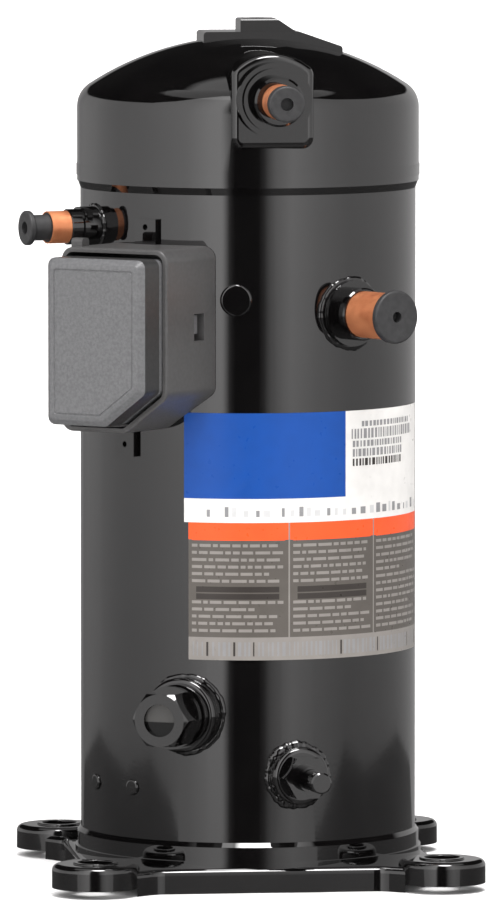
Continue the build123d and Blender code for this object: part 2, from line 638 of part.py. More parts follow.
def suction_baffle():
    sheet = sector(86, 84.6, 252, 296, SUCTION_AZ, 24)
    ends = [sector(SHELL_IN - 0.1, 84.6, 252, 296, SUCTION_AZ + side, 1.0) for side in (-24, 24)]
    return sheet + ends[0] + ends[1]


def muffler_plate():
    body = turned([
        (13, 393.3), (SHELL_R - 1.1, 393.05), (SHELL_R - 1.1, 396.5), (80, 397), (60, 400), (13, 401),
    ])
    body -= Pos(0, 62) * rod(5.0, 380, 410)
    return body


# ---- write everything -------------------------------------------------------------------------
def main():
    os.makedirs("parts", exist_ok=True)
    write("top_cap", top_cap())
    write("mid_shell", mid_shell())
    write("bottom_cap", bottom_cap())
    write("base_plate", base_plate())
    write("lifting_bracket", lifting_bracket())
    write("shell_welds", *welds())

    for name, parts in (
        ("discharge", discharge_parts()),
        ("suction", suction_parts()),
        ("injection", injection_parts()),
    ):
        for suffix, solid in zip(("fitting", "stub", "plug"), parts):
            write(f"{name}_{suffix}", solid)

    for name, solid in zip(("boss", "nut", "window", "seal"), sight_glass_parts()):
        write(f"sight_glass_{name}", solid)
    for name, solid in zip(("boss", "body", "core", "cap"), oil_valve_parts()):
        write(f"oil_valve_{name}", solid)

    write("terminal_box_base", terminal_box_base())
    write("terminal_cover", terminal_cover())
    write("terminal_gasket", terminal_gasket())
    write("terminal_brackets", *terminal_brackets())
    cup, pins, beads, terminal_block, nuts = terminal_parts()
    write("hermetic_terminal", cup)
    write("terminal_pins", *pins)
    write("terminal_glass_beads", *beads)
    write("terminal_block", terminal_block)
    write("terminal_nuts", *nuts)
    write("ground_screw", ground_screw())
    middle, half = (LABEL_FROM + LABEL_TO) / 2, (LABEL_TO - LABEL_FROM) / 2
    write("nameplate_label", sector(SHELL_R + 0.3, SHELL_R + 0.05, LABEL_LOW, LABEL_HIGH, middle, half))

    write("fixed_scroll", fixed_scroll())
    write("orbiting_scroll", orbiting_scroll())
    write("oldham_ring", oldham_ring())
    write("scroll_bolts", *scroll_bolts())
    write("main_bearing_housing", main_bearing_housing())
    write("main_bearing_bush", ring(16.5, JOURNAL_R + RUNNING, HOUSING_LOW, 298))
    write("hub_bush", Pos(0, ORBIT) * ring(16, JOURNAL_R + RUNNING, 303.5, 318))
    write("drive_bushing", Pos(0, ORBIT) * ring(JOURNAL_R, PIN_R + 0.02, 302.5, 317.5))
    seal_plate = ring(47.7, 26.3, 378, 390.5) + ring(40, 34, 390, 391.5)
    write("floating_seal", seal_plate, ring(46, 43, 377, 377.98), ring(31, 28, 377, 377.98))
    write("discharge_valve_disc", rod(11, FIXED_PLATE_TOP + 0.1, FIXED_PLATE_TOP + 1.6))
    retainer = ring(21.95, 15, 380, 384) + ring(8, 4, 380, 384)
    retainer += block(-16, 16, -2.5, 2.5, 380, 384) - rod(4, 370, 390)
    write("discharge_valve_retainer", retainer)
    write("muffler_plate", muffler_plate())
    relief_valve = rod(4.95, 390.5, 404) + hexagon(13, 401, 406) - rod(0.8, 380, 410)
    write("relief_valve", Pos(0, 62) * relief_valve)

    write("crankshaft", crankshaft())
    core, rings, upper, lower = rotor_parts()
    write("rotor_core", core)
    write("rotor_end_rings", *rings)
    write("counterweights", upper, lower)
    stator, windings = stator_parts()
    write("stator_core", stator)
    write("stator_windings", windings)
    write("lower_bearing_bracket", lower_bearing_bracket())
    write("lower_bearing_bush", ring(LOWER_R + 2.5, LOWER_R + RUNNING, 50, 70))
    write("thrust_washer", ring(16, LOWER_R + 0.4, 70, 71.8))
    write("oil_pickup", oil_pickup())
    write("internal_leads", *internal_leads())
    write("suction_baffle", suction_baffle())
    write("injection_tube", outward(INJECTION_AZ, INJECTION_Z) * ring(2.5, 1.7, 70, 84.9))


main()
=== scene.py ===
"""Scroll compressor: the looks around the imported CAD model. Metres, in the CAD row frame."""
import json
import math
import random

import bmesh
import bpy
from mathutils import Matrix, Vector


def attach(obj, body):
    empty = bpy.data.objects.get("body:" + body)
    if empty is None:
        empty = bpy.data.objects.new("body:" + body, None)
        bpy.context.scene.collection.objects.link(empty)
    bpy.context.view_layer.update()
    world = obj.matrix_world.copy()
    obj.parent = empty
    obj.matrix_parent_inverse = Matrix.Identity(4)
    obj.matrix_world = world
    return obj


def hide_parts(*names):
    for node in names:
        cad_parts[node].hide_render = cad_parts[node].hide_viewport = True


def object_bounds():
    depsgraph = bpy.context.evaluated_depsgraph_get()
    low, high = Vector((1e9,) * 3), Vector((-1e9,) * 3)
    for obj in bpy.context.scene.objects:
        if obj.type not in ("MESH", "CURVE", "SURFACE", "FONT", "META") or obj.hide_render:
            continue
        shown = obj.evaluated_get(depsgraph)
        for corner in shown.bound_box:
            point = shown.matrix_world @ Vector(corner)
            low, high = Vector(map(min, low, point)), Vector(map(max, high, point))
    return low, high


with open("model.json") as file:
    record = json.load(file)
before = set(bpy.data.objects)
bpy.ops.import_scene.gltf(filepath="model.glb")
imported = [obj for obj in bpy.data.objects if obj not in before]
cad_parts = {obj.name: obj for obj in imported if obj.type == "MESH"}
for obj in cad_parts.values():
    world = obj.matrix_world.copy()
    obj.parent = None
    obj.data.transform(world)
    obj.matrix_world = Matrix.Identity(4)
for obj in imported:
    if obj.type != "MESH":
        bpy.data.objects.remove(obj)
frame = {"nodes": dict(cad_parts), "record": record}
nodes = frame["nodes"]
cad_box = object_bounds()

# ---- driving dimensions: millimetres and degrees, heights from the foot plane --------------------
MM = 0.001
MOUNTING_PLANE = 13.5  # from the foot plane up to the origin
SHELL_R = 92.6
GLASS_AZ, GLASS_Z = -28.5, 97.3
OIL_LEVEL, OIL_EDGE = GLASS_Z - 1.0, 0.3

# the label: radius, lift of the second layer of ink, azimuths of its sides, heights of its borders
LABEL_R, LABEL_LAYER = 92.98, 0.03
LABEL_AZIMUTHS = (-29.0, 75.0)
LABEL_ROWS = (127.3, 139.8, 193.2, 202.5, 215.6, 262.4)
LABEL_STEP = 1.6
BLUE_END = 28.0
COLUMN_BORDERS = (7.0, 40.6)
COLUMN_GAP, COLUMN_LEFT, COLUMN_RIGHT, BORDER_HALF = 1.4, 1.2, 1.5, 0.25
TEXT_ROWS, DARK_ROWS, SHORT_EVERY = 13, (6, 7), 5
TEXT_TOP, TEXT_SPARE, HEAD_LINE = 2.4, 3.0, 0.4
WORD, WORD_GAP = (1.4, 5.2), 0.75
LINE_SHARE, DARK_SHARE = 0.42, 0.8
# how much of a line may be left empty, for a short line and for the others
SHORT_SHARE, RAGGED_SHARE = 0.55, 0.12
# upright bars of the bottom strip, then the loose ones of the white band: widths, gaps, free stretches
STRIP_BARS, STRIP_GAP, STRIP_FOOT, STRIP_HEAD, STRIP_DARK = (0.45, 0.7, 1.1), (0.7, 1.4), 2.2, 2.6, 0.2
MARK_WIDTH, MARK_TALL, MARK_GAP, MARK_FOOT = (0.8, 2.4), (3.2, 6.0), (0.9, 2.6), 3.2
MARK_FREE = ((0, 4), (-21, -16))
DATA_TOP, DATA_LEADING, DATA_BAR, DATA_GAP = 6.0, 1.1, (0.5, 1.5), (0.45, 0.8)
# rows of bars on the white block: azimuths of the ends, height, ink
DATA_ROWS = (
    (35.0, 64.0, 3.0, "ink"),
    (30.5, 66.0, 5.4, "ink"),
    (31.0, 57.0, 3.4, "ink"),
    (31.0, 57.0, 4.2, "ink"),
    (31.0, 57.0, 4.0, "bar"),
)

# the terminal box and its lid, as distances from the axis, half width and heights
BOX_AZ, BOX_Z = -39.5, 302.5
BOX_LOW, BOX_HIGH, BOX_HALF = 253.3, 353.6, 34.2
BOX_CUT_X, BOX_CUT_Z = 27.0, 20.0
COVER_BACK, COVER_FRONT, COVER_BEVEL = 138.0, 155.9, 3.2
COVER_SIDE_STEP, COVER_END_STEP = 2.8, 4.7
COVER_CORNER, COVER_LEAST_CORNER, COVER_ROUND = 4.5, 1.2, 0.6
# how many bands from the lid's back edge, its lip and sides, are painted darker as painted shade; then the
# angle for sharp edges
COVER_SHADED_BANDS, COVER_SHARP = 5, 28
LINE_INSET, LINE_DEPTH = 2.6, 0.35
TONGUE_BACK, TONGUE_OUT, TONGUE_IN = 129.0, 0.4, 2.0
LATCH_BACK, LATCH_LOW, LATCH_HIGH, LATCH_THICK = 100.0, 4.0, 14.0, 2.0

# weld beads round the bosses: azimuth, height, boss radius, bead size
WELDS = {
    "weld_suction": (30.0, 315.8, 18.2, 2.2),
    "weld_injection": (-72.0, 361.3, 11.2, 1.8),
    "weld_sight_glass": (GLASS_AZ, GLASS_Z, 20.6, 2.0),
    "weld_oil_valve": (10.0, 64.0, 15.9, 3.0),
}
BEAD_AROUND, BEAD_ACROSS, BEAD_RISE = 180, 10, 0.75
# depth of each ripple as a share of the bead, and how many go round it
WELD_WAVES = ((0.14, 3), (0.12, 7), (0.07, 19), (0.04, 31))


# ---- materials --------------------------------------------------------------------------------
class Shader:
    """A Principled material with short ways to add procedural detail."""

    def __init__(self, name, **sockets):
        self.material = bpy.data.materials.new(name)
        self.material.use_nodes = True
        self.tree = self.material.node_tree
        self.bsdf = self.tree.nodes["Principled BSDF"]
        for socket, value in sockets.items():
            self.bsdf.inputs[socket.replace("_", " ")].default_value = value

    def node(self, kind, **settings):
        made = self.tree.nodes.new(kind)
        for key, value in settings.items():
            if key in made.inputs:
                made.inputs[key].default_value = value
            else:
                setattr(made, key, value)
        return made

    def link(self, source, target):
        self.tree.links.new(source, target)

    def position(self):
        return self.node("ShaderNodeTexCoord").outputs["Object"]

    def noise(self, scale, detail=2.0, roughness=0.5):
        made = self.node("ShaderNodeTexNoise", Scale=scale, Detail=detail, Roughness=roughness)
        self.link(self.position(), made.inputs["Vector"])
        return made.outputs["Fac"]

    def ramp(self, value, *stops):
        made = self.node("ShaderNodeValToRGB")
        elements = made.color_ramp.elements
        while len(elements) < len(stops):
            elements.new(0.5)
        for element, (place, colour) in zip(elements, stops):
            element.position = place
            element.color = (*colour, 1)
        self.link(value, made.inputs["Fac"])
        return made.outputs["Color"]

    def span(self, value, *limits):
        """Map the value from between the first two limits to between the last two."""
        made = self.node("ShaderNodeMapRange")
        for socket, limit in zip(("From Min", "From Max", "To Min", "To Max"), limits):
            made.inputs[socket].default_value = limit
        self.link(value, made.inputs["Value"])
        return made.outputs["Result"]

    def bump(self, height, distance):
        made = self.node("ShaderNodeBump", Strength=1.0, Distance=distance)
        self.link(height, made.inputs["Height"])
        self.link(made.outputs["Normal"], self.bsdf.inputs["Normal"])
        return self

    def colour(self, value):
        self.link(value, self.bsdf.inputs["Base Color"])
        return self

    def roughness(self, value):
        self.link(value, self.bsdf.inputs["Roughness"])
        return self


def enamel(name, roughness=0.035, peel=0.000002):
    """Black stoving enamel: deep gloss with a faint orange peel and a little dust."""
    shader = Shader(name, Coat_Weight=0.6, Coat_Roughness=0.02, Coat_IOR=1.45, IOR=1.5)
    cloud = shader.noise(35, 3)
    shader.colour(shader.ramp(cloud, (0.3, (0.0016, 0.0014, 0.0015)), (0.75, (0.0032, 0.0029, 0.0029))))
    shader.roughness(shader.span(shader.noise(90, 4), 0.3, 0.7, roughness * 0.8, roughness * 1.25))
    return shader.bump(shader.noise(420, 2), peel).material


def metal(name, colour, darker, roughness, scale=220, depth=0.00002, metallic=1.0):
    shader = Shader(name, Metallic=metallic)
    shader.colour(shader.ramp(shader.noise(scale, 4), (0.3, darker), (0.7, colour)))
    shader.roughness(shader.span(shader.noise(scale * 2, 3), 0.3, 0.7, roughness * 0.75, roughness * 1.3))
    return shader.bump(shader.noise(scale * 4, 2), depth).material


def moulded(name, colour, darker, roughness, grain=900, depth=0.00006):
    shader = Shader(name)
    shader.colour(shader.ramp(shader.noise(grain * 0.5, 3), (0.35, darker), (0.65, colour)))
    shader.roughness(shader.span(shader.noise(grain, 2), 0.3, 0.7, roughness * 0.85, roughness * 1.15))
    return shader.bump(shader.noise(grain, 3, 0.6), depth).material


MATERIALS = {
    "black_paint": enamel("black_enamel"),
    "copper": metal("drawn_copper", (0.72, 0.28, 0.125), (0.54, 0.175, 0.075), 0.40, 90, 0.000005, 0.6),
    "plug_rubber": moulded("plug_rubber", (0.030, 0.030, 0.031), (0.020, 0.020, 0.021), 0.5, 700),
    "box_plastic": moulded("box_plastic", (0.062, 0.061, 0.061), (0.052, 0.051, 0.051), 0.36, 900, 0.00001),
    "cover_plastic": moulded(
        "cover_plastic", (0.112, 0.113, 0.116), (0.086, 0.087, 0.090), 0.42, 1300, 0.0001
    ),
    "seal_rubber": moulded("seal_rubber", (0.02, 0.02, 0.02), (0.012, 0.012, 0.012), 0.6),
    "sight_glass": moulded("sight_glass_stand", (0.1, 0.1, 0.1), (0.05, 0.05, 0.05), 0.05),
    "bead_glass": moulded("bead_glass", (0.10, 0.22, 0.14), (0.06, 0.15, 0.09), 0.1),
    "label_film": moulded("label_film", (0.8, 0.8, 0.8), (0.76, 0.76, 0.76), 0.3, 60, 0.00001),
    "block_plastic": moulded("block_plastic", (0.03, 0.03, 0.03), (0.02, 0.02, 0.02), 0.4),
    "plated_steel": metal("plated_steel", (0.72, 0.72, 0.70), (0.56, 0.57, 0.56), 0.28),
    "valve_brass": metal("valve_brass", (0.80, 0.62, 0.30), (0.66, 0.48, 0.22), 0.25),
    "cast_iron": metal("cast_iron", (0.36, 0.36, 0.37), (0.22, 0.22, 0.23), 0.45, 120),
    "sintered_aluminium": metal("sintered_aluminium", (0.78, 0.79, 0.80), (0.62, 0.63, 0.64), 0.38),
    "bearing_metal": metal("bearing_metal", (0.56, 0.46, 0.32), (0.44, 0.35, 0.24), 0.30),
    "ground_steel": metal("ground_steel", (0.75, 0.76, 0.77), (0.64, 0.65, 0.66), 0.16),
    "lamination_steel": metal("lamination_steel", (0.50, 0.51, 0.53), (0.36, 0.37, 0.39), 0.40),
    "enamelled_wire": metal("enamelled_wire", (0.62, 0.25, 0.10), (0.42, 0.15, 0.06), 0.28, 500),
    "lead_sleeve": moulded("lead_sleeve", (0.55, 0.52, 0.42), (0.42, 0.40, 0.32), 0.7),
}

for part in frame["record"]["subparts"]:
    mesh = nodes[part["node"]].data
    mesh.materials.clear()
    mesh.materials.append(MATERIALS[part["material_slot"]])
    mesh.shade_smooth()


# ---- meshes -----------------------------------------------------------------------------------
def mesh_object(name, bm, materials):
    mesh = bpy.data.meshes.new(name)
    bm.to_mesh(mesh)
    bm.free()
    for material in materials:
        mesh.materials.append(material)
    made = bpy.data.objects.new(name, mesh)
    bpy.context.scene.collection.objects.link(made)
    return made


def outward(azimuth, height):
    """Frame on the axis: local Z points out of the shell, X to the right seen from outside, Y up."""
    a = math.radians(azimuth)
    out = Vector((math.sin(a), -math.cos(a), 0))
    right = Vector((math.cos(a), math.sin(a), 0))
    turn = Matrix((right, Vector((0, 0, 1)), out)).transposed().to_4x4()
    return Matrix.Translation((0, 0, (height - MOUNTING_PLANE) * MM)) @ turn


# ---- label ------------------------------------------------------------------------------------
INKS = {
    "white": (0.66, 0.65, 0.63),
    "blue": (0.004, 0.056, 0.28),
    "orange": (0.78, 0.085, 0.018),
    "grey": (0.088, 0.079, 0.070),
    "light": (0.215, 0.20, 0.185),
    "bar": (0.035, 0.030, 0.027),
    "ink": (0.22, 0.22, 0.225),
    "pale": (0.50, 0.50, 0.50),
}


def flat_ink(name, colour, roughness=0.32):
    shader = Shader(name, Specular_IOR_Level=0.25)
    darker = tuple(0.93 * c for c in colour)
    shader.colour(shader.ramp(shader.noise(120, 3), (0.35, darker), (0.65, colour)))
    shader.roughness(shader.span(shader.noise(300, 2), 0.3, 0.7, roughness * 0.85, roughness * 1.15))
    return shader.bump(shader.noise(500, 2), 0.000008).material


def patch(sheet, ink, a0, a1, z0, z1, layer=1):
    """A block of ink between two azimuths and two heights; layer 1 lies on layer 0."""
    sheet.append((list(INKS).index(ink), a0, a1, z0, z1, layer))


def label_blocks(sheet):
    low, strip_low, panel_top, band_top, white_top, high = LABEL_ROWS
    left, right = LABEL_AZIMUTHS
    inner = left + LABEL_STEP
    patch(sheet, "white", left, right, white_top, high, 0)
    patch(sheet, "white", left, right, band_top, white_top, 0)
    patch(sheet, "orange", inner, right, panel_top, band_top, 0)
    patch(sheet, "grey", inner, right, strip_low, panel_top, 0)
    patch(sheet, "light", inner, right, low, strip_low, 0)
    patch(sheet, "blue", left, BLUE_END, white_top, high)


def label_columns(sheet):
    """Three columns of broken lines; two dark bars cross the first two columns."""
    strip_low, panel_top, band_top = LABEL_ROWS[1:4]
    left, right = LABEL_AZIMUTHS
    first, second = COLUMN_BORDERS
    columns = (
        (left + LABEL_STEP + COLUMN_LEFT, first - COLUMN_GAP),
        (first + COLUMN_GAP, second - COLUMN_GAP),
        (second + COLUMN_GAP, right - COLUMN_RIGHT),
    )
    pitch = (panel_top - strip_low - TEXT_SPARE) / TEXT_ROWS
    for a0, a1 in columns:
        patch(sheet, "orange", a0, a1, panel_top - HEAD_LINE, panel_top)
        for row in range(TEXT_ROWS):
            top = panel_top - TEXT_TOP - row * pitch
            if row in DARK_ROWS and a0 < second:
                patch(sheet, "bar", a0 + 1.5, a1 - 2, top - pitch * DARK_SHARE, top)
                continue
            spare = SHORT_SHARE if row % SHORT_EVERY == SHORT_EVERY - 1 else RAGGED_SHARE
            end = a1 - random.uniform(0, (a1 - a0) * spare)
            place = a0
            while place < end - 1:
                word = random.uniform(*WORD)
                patch(sheet, "light", place, min(place + word, end), top - pitch * LINE_SHARE, top)
                place += word + WORD_GAP
    for border in COLUMN_BORDERS:
        patch(sheet, "light", border - BORDER_HALF, border + BORDER_HALF, strip_low, band_top)


def label_strip(sheet):
    """Upright bars along the bottom strip."""
    low, strip_low = LABEL_ROWS[:2]
    left, right = LABEL_AZIMUTHS
    place = left + LABEL_STEP + 1.5
    while place < right - 2:
        width = random.choice(STRIP_BARS)
        ink = "bar" if random.random() < STRIP_DARK else "ink"
        patch(sheet, ink, place, place + width, low + STRIP_FOOT, strip_low - STRIP_HEAD)
        place += width + random.uniform(*STRIP_GAP)


def label_data(sheet):
    """Rows of bars on the white block."""
    z = LABEL_ROWS[-1] - DATA_TOP
    for a0, a1, tall, ink in DATA_ROWS:
        place = a0
        while place < a1:
            width = random.uniform(*DATA_BAR)
            patch(sheet, ink, place, place + width, z - tall, z)
            place += width + random.uniform(*DATA_GAP)
        z -= tall + DATA_LEADING


def label_marks(sheet):
    """Loose upright bars on the white band, with two gaps."""
    foot = LABEL_ROWS[3] + MARK_FOOT
    left, right = LABEL_AZIMUTHS
    place = left + 8
    while place < right - 3:
        width = random.uniform(*MARK_WIDTH)
        if not any(start < place < end for start, end in MARK_FREE):
            tall = random.uniform(*MARK_TALL)
            ink = random.choice(("ink", "pale"))
            patch(sheet, ink, place, place + width, foot, foot + tall)
        place += width + random.uniform(*MARK_GAP)


def label():
    """Curved printed film: blocks and bars of ink only, one mesh with one material for each ink."""
    sheet = []
    random.seed(7)
    for draw in (label_blocks, label_columns, label_strip, label_data, label_marks):
        draw(sheet)
    bm = bmesh.new()
    for ink, a0, a1, z0, z1, layer in sheet:
        radius = (LABEL_R + LABEL_LAYER * layer) * MM
        count = max(1, math.ceil((a1 - a0) / 2))
        rows = []
        for i in range(count + 1):
            a = math.radians(a0 + (a1 - a0) * i / count)
            x, y = radius * math.sin(a), -radius * math.cos(a)
            rows.append([bm.verts.new((x, y, (z - MOUNTING_PLANE) * MM)) for z in (z0, z1)])
        for one, two in zip(rows, rows[1:]):
            face = bm.faces.new((one[0], two[0], two[1], one[1]))
            face.material_index = ink
            face.smooth = True
    made = mesh_object("label_print", bm, [flat_ink("ink_" + ink, colour) for ink, colour in INKS.items()])
    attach(made, "housing")
    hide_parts("nameplate_label")


# ---- weld beads and sight glass -----------------------------------------------------------------
def fillet_weld(name, azimuth, height, radius, size, seed):
    """Rippled bead where a round boss meets the shell."""
    chance = random.Random(seed)
    phases = [chance.uniform(0, 6.28) for _ in WELD_WAVES]
    place = outward(azimuth, height)
    bm = bmesh.new()
    rings = []
    for i in range(BEAD_AROUND):
        t = 2 * math.pi * i / BEAD_AROUND
        ripples = (share * math.sin(waves * t + phase) for (share, waves), phase in zip(WELD_WAVES, phases))
        bead = size * (1 + sum(ripples))
        x, y = radius * math.cos(t), radius * math.sin(t)
        d = math.sqrt(SHELL_R**2 - x * x)
        ring = []
        for j in range(BEAD_ACROSS):
            q = 2 * math.pi * j / BEAD_ACROSS
            out, rise = bead * math.cos(q), BEAD_RISE * bead * math.sin(q)
            share = (radius + out) / radius
            ring.append(bm.verts.new(place @ (Vector((x * share, y * share, d + rise)) * MM)))
        rings.append(ring)
    for one, two in zip(rings, rings[1:] + rings[:1]):
        for j in range(BEAD_ACROSS):
            k = (j + 1) % BEAD_ACROSS
            bm.faces.new((one[j], two[j], two[k], one[k])).smooth = True
    bmesh.ops.recalc_face_normals(bm, faces=bm.faces)
    made = mesh_object(name, bm, [MATERIALS["black_paint"]])
    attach(made, "housing")


def window_look():
    """Dark oil behind the lower half of the sight glass."""
    shader = Shader("glass_over_oil", Roughness=0.08, Specular_IOR_Level=0.2)
    split = shader.node("ShaderNodeSeparateXYZ")
    shader.link(shader.position(), split.inputs["Vector"])
    level, edge = (OIL_LEVEL - MOUNTING_PLANE) * MM, OIL_EDGE * MM
    part = shader.span(split.outputs["Z"], level - edge, level + edge, 0, 1)
    shader.colour(shader.ramp(part, (0.0, (0.004, 0.004, 0.004)), (1.0, (0.055, 0.054, 0.052))))
    return shader.material


# ---- terminal box cover -------------------------------------------------------------------------
def box_outline(side_step, end_step, corner, steps=6):
    """Rounded front outline of the terminal box drawn in by the two steps, as (x, y) in millimetres."""
    half = BOX_HALF - side_step
    low = BOX_LOW - BOX_Z + end_step
    high = BOX_HIGH - BOX_Z - end_step
    slant = math.hypot(1 / BOX_CUT_X, 1 / BOX_CUT_Z)
    share = 1 + side_step * (slant - 1 / BOX_CUT_X - 1 / BOX_CUT_Z)
    cut_x, cut_z = BOX_CUT_X * share, BOX_CUT_Z * share
    corners = [(-half, low), (half - cut_x, low), (half, low + cut_z), (half, high), (-half, high)]
    points = []
    for before, at, after in zip(corners[-1:] + corners[:-1], corners, corners[1:] + corners[:1]):
        at = Vector(at)
        back, on = (Vector(before) - at).normalized(), (Vector(after) - at).normalized()
        half_angle = back.angle(on) / 2
        reach = corner / math.tan(half_angle)
        centre = at + (back + on).normalized() * corner / math.sin(half_angle)
        start, end = at + back * reach - centre, at + on * reach - centre
        sweep = start.angle(end)
        for k in range(steps + 1):
            one, two = math.sin((1 - k / steps) * sweep), math.sin(k / steps * sweep)
            points.append(centre + (start * one + end * two) / math.sin(sweep))
    return points


def loft(bm, place, rows, close_end=True, painted_shade_bands=0):
    """Skin over rows of (step inwards, distance from the axis, corner radius); the first bands, the lid's
    back lip and sides, take the second material, a painted shade.
    """
    loops = []
    for step, distance, corner in rows:
        corner = max(corner - step, COVER_LEAST_CORNER)
        outline = box_outline(COVER_SIDE_STEP + step, COVER_END_STEP + step, corner)
        loops.append([bm.verts.new(place @ (Vector((x, y, distance)) * MM)) for x, y in outline])
    for band, (one, two) in enumerate(zip(loops, loops[1:])):
        for i in range(len(one)):
            j = (i + 1) % len(one)
            face = bm.faces.new((one[i], one[j], two[j], two[i]))
            face.smooth = True
            # the first bands take the darker material: painted shade on the lid's lip and sides
            face.material_index = int(band < painted_shade_bands)
    if close_end:
        bm.faces.new(loops[-1]).smooth = True


def slab(bm, place, *spans):
    """Box between three pairs of limits, along X, Y and Z of the place."""
    made = bmesh.ops.create_cube(bm, size=1)
    size = Matrix.Diagonal([(high - low) * MM for low, high in spans] + [1])
    middle = Matrix.Translation(Vector([(low + high) / 2 for low, high in spans]) * MM)
    bmesh.ops.transform(bm, matrix=place @ middle @ size, verts=made["verts"])


def cover_skin():
    """Rows of the lid's outside, from its back edge over the rounded bevel to the line on its face."""
    back, face, corner = COVER_BACK, COVER_FRONT, COVER_CORNER
    edge = face - COVER_BEVEL - COVER_ROUND
    line = COVER_BEVEL + LINE_INSET
    rows = [(3.0, back + 1.0, corner), (0.5, back, corner), (0.0, back + 0.5, corner), (0.0, edge, corner)]
    for k in (1, 2, 3):
        t = math.pi / 8 * k / 3
        rows.append((2 * COVER_ROUND * (1 - math.cos(t)), edge + 2 * COVER_ROUND * math.sin(t), corner))
    rows += [
        (COVER_BEVEL - 0.7, face - 0.75, corner + 0.5),
        (COVER_BEVEL - 0.2, face - 0.22, corner + 0.5),
        (COVER_BEVEL + 0.5, face, corner + 0.7),
        (line, face, 7.5),
        (line + 0.3, face - LINE_DEPTH, 7.6),
        (line + 0.8, face - LINE_DEPTH, 7.9),
        (line + 1.1, face, 8.2),
        (line + 2.0, face, 8.6),
    ]
    return rows


def box_cover():
    """Moulded lid: soft bevel, a fine sunk line on the face, a tongue and two latch arms behind."""
    place = outward(BOX_AZ, BOX_Z)
    bm = bmesh.new()
    loft(bm, place, cover_skin(), painted_shade_bands=COVER_SHADED_BANDS)
    seat = COVER_BACK + 0.8
    tongue = [
        (5.0, seat, 5.6),
        (TONGUE_IN, seat, COVER_CORNER),
        (TONGUE_IN, TONGUE_BACK, COVER_CORNER),
        (TONGUE_OUT, TONGUE_BACK, 4.0),
        (TONGUE_OUT, seat, 4.0),
    ]
    loft(bm, place, tongue, close_end=False)
    loft(bm, place, [(3.0, COVER_BACK + 1.0, COVER_CORNER), (3.2, COVER_FRONT - 3.0, 5.0)])
    reach = BOX_HALF - COVER_SIDE_STEP - TONGUE_OUT
    for across in ((-reach, LATCH_THICK - reach), (reach - LATCH_THICK, reach)):
        slab(bm, place, across, (LATCH_LOW, LATCH_HIGH), (LATCH_BACK, TONGUE_BACK + 3))
    bmesh.ops.recalc_face_normals(bm, faces=bm.faces)
    # the lid's back lip and sides: the same plastic painted much darker, a painted shade
    painted_shade_side = moulded("cover_side_painted_shade", (0.026, 0.026, 0.026), (0.020, 0.020, 0.020), 0.42, 900, 0.00001)
    made = mesh_object("box_cover", bm, [MATERIALS["cover_plastic"], painted_shade_side])
    made.data.set_sharp_from_angle(angle=math.radians(COVER_SHARP))
    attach(made, "cover")
    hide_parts("terminal_cover")


label()
box_cover()
for seed, (name, place) in enumerate(WELDS.items()):
    fillet_weld(name, *place, seed)
window = nodes["sight_glass_window"].data
window.materials.clear()
window.materials.append(window_look())


# ---- studio and camera ---------------------------------------------------------------------------
CAMERA_TURN = math.radians(-7)
CAMERA_REACH, CAMERA_HEIGHT = 5.9, 0.71 - MOUNTING_PLANE * MM
CAMERA_PITCH, CAMERA_YAW = math.radians(4.649), math.radians(-0.011)
LENS = 420.07

FLOOR, FLOOR_HALF = 0.80, 30
OVERHEAD, OVERHEAD_FROM = 0.7, 60.0
LAMP, LAMP_AZIMUTH, LAMP_ELEVATION, LAMP_HALF = 24.0, 15.0, 70.0, 10.0
SOFT, KEY, KEY_AZIMUTH, KEY_ELEVATION = 0.48, 1.75, -58.0, 52.0
BACKDROP = 1.0
WALL_SOFT, OVERHEAD_SOFT, LAMP_SOFT = 2.0, 3.0, 3.0
LEAST_LIGHT, PATCH_DEPTH, PATCH_SOFT = 0.012, 0.68, 0.04
# the walls fade below the horizon: lowest share, share at the horizon, share lost with each degree
SINK_LEAST, SINK_LEVEL, SINK_RATE = 0.55, 1.33, 0.105
TINT = {"Red": 1.0, "Green": 0.985, "Blue": 0.985}
# by azimuth from the camera: radiance of the walls, elevation of their tops, and the elevation
# below which the floor is dark
WALL_LIGHT = (
    (-180, 0.3), (-155, 0.28), (-140, 0.5), (-124, 0.75), (-95, 1.0), (-73, 1.3), (-42, 1.8), (-25, 2.5),
    (-17.5, 2.6), (-12.5, 0.25), (-9, 0.02), (7.0, 0.02), (11, 0.25), (14, 0.75), (19, 1.4), (30, 1.95),
    (54, 1.35), (73, 1.05), (95, 0.92), (123, 0.72), (150, 0.55), (180, 0.4),
)
WALL_TOPS = (
    (-180, 10), (-150, 15), (-135, 19.5), (-100, 27), (-76, 32), (-60, 45), (-45, 75), (0, 88),
    (45, 80), (62, 60), (78, 46), (100, 36), (135, 25), (150, 18), (180, 10),
)
FLOOR_DARK = (
    (-165, -6.9), (-155, -6.25), (-124, -6.1), (-94, -6.3), (-71, -6.25), (-55, -6.5), (-49, -6.7),
    (-46, -7.9), (46, -7.9), (47, -6.7), (58, -6.45), (70, -6.2), (88, -6.3), (125, -6.1), (150, -6.25),
    (165, -6.9),
)


def ramp_stops(made, stops, low, high):
    """Fill a colour ramp with values between low and high at azimuths of -180 to 180 degrees."""
    elements = made.color_ramp.elements
    while len(elements) < len(stops):
        elements.new(0.5)
    for element, (azimuth, value) in zip(elements, stops):
        element.position = (azimuth + 180) / 360
        level = (value - low) / (high - low)
        element.color = (level, level, level, 1)


def floor():
    low, half = cad_box[0][2], FLOOR_HALF
    mesh = bpy.data.meshes.new("floor")
    corners = [(x, y, low) for x, y in ((-half, -half), (half, -half), (half, half), (-half, half))]
    mesh.from_pydata(corners, [], [(0, 1, 2, 3)])
    made = bpy.data.objects.new("floor", mesh)
    bpy.context.scene.collection.objects.link(made)
    pale = Shader("pale_floor", Roughness=0.9, Specular_IOR_Level=0.1)
    pale.colour(pale.ramp(pale.noise(3, 2), (0.3, (FLOOR,) * 3), (0.7, (FLOOR + 0.01,) * 3)))
    mesh.materials.append(pale.material)
    made.visible_glossy = False


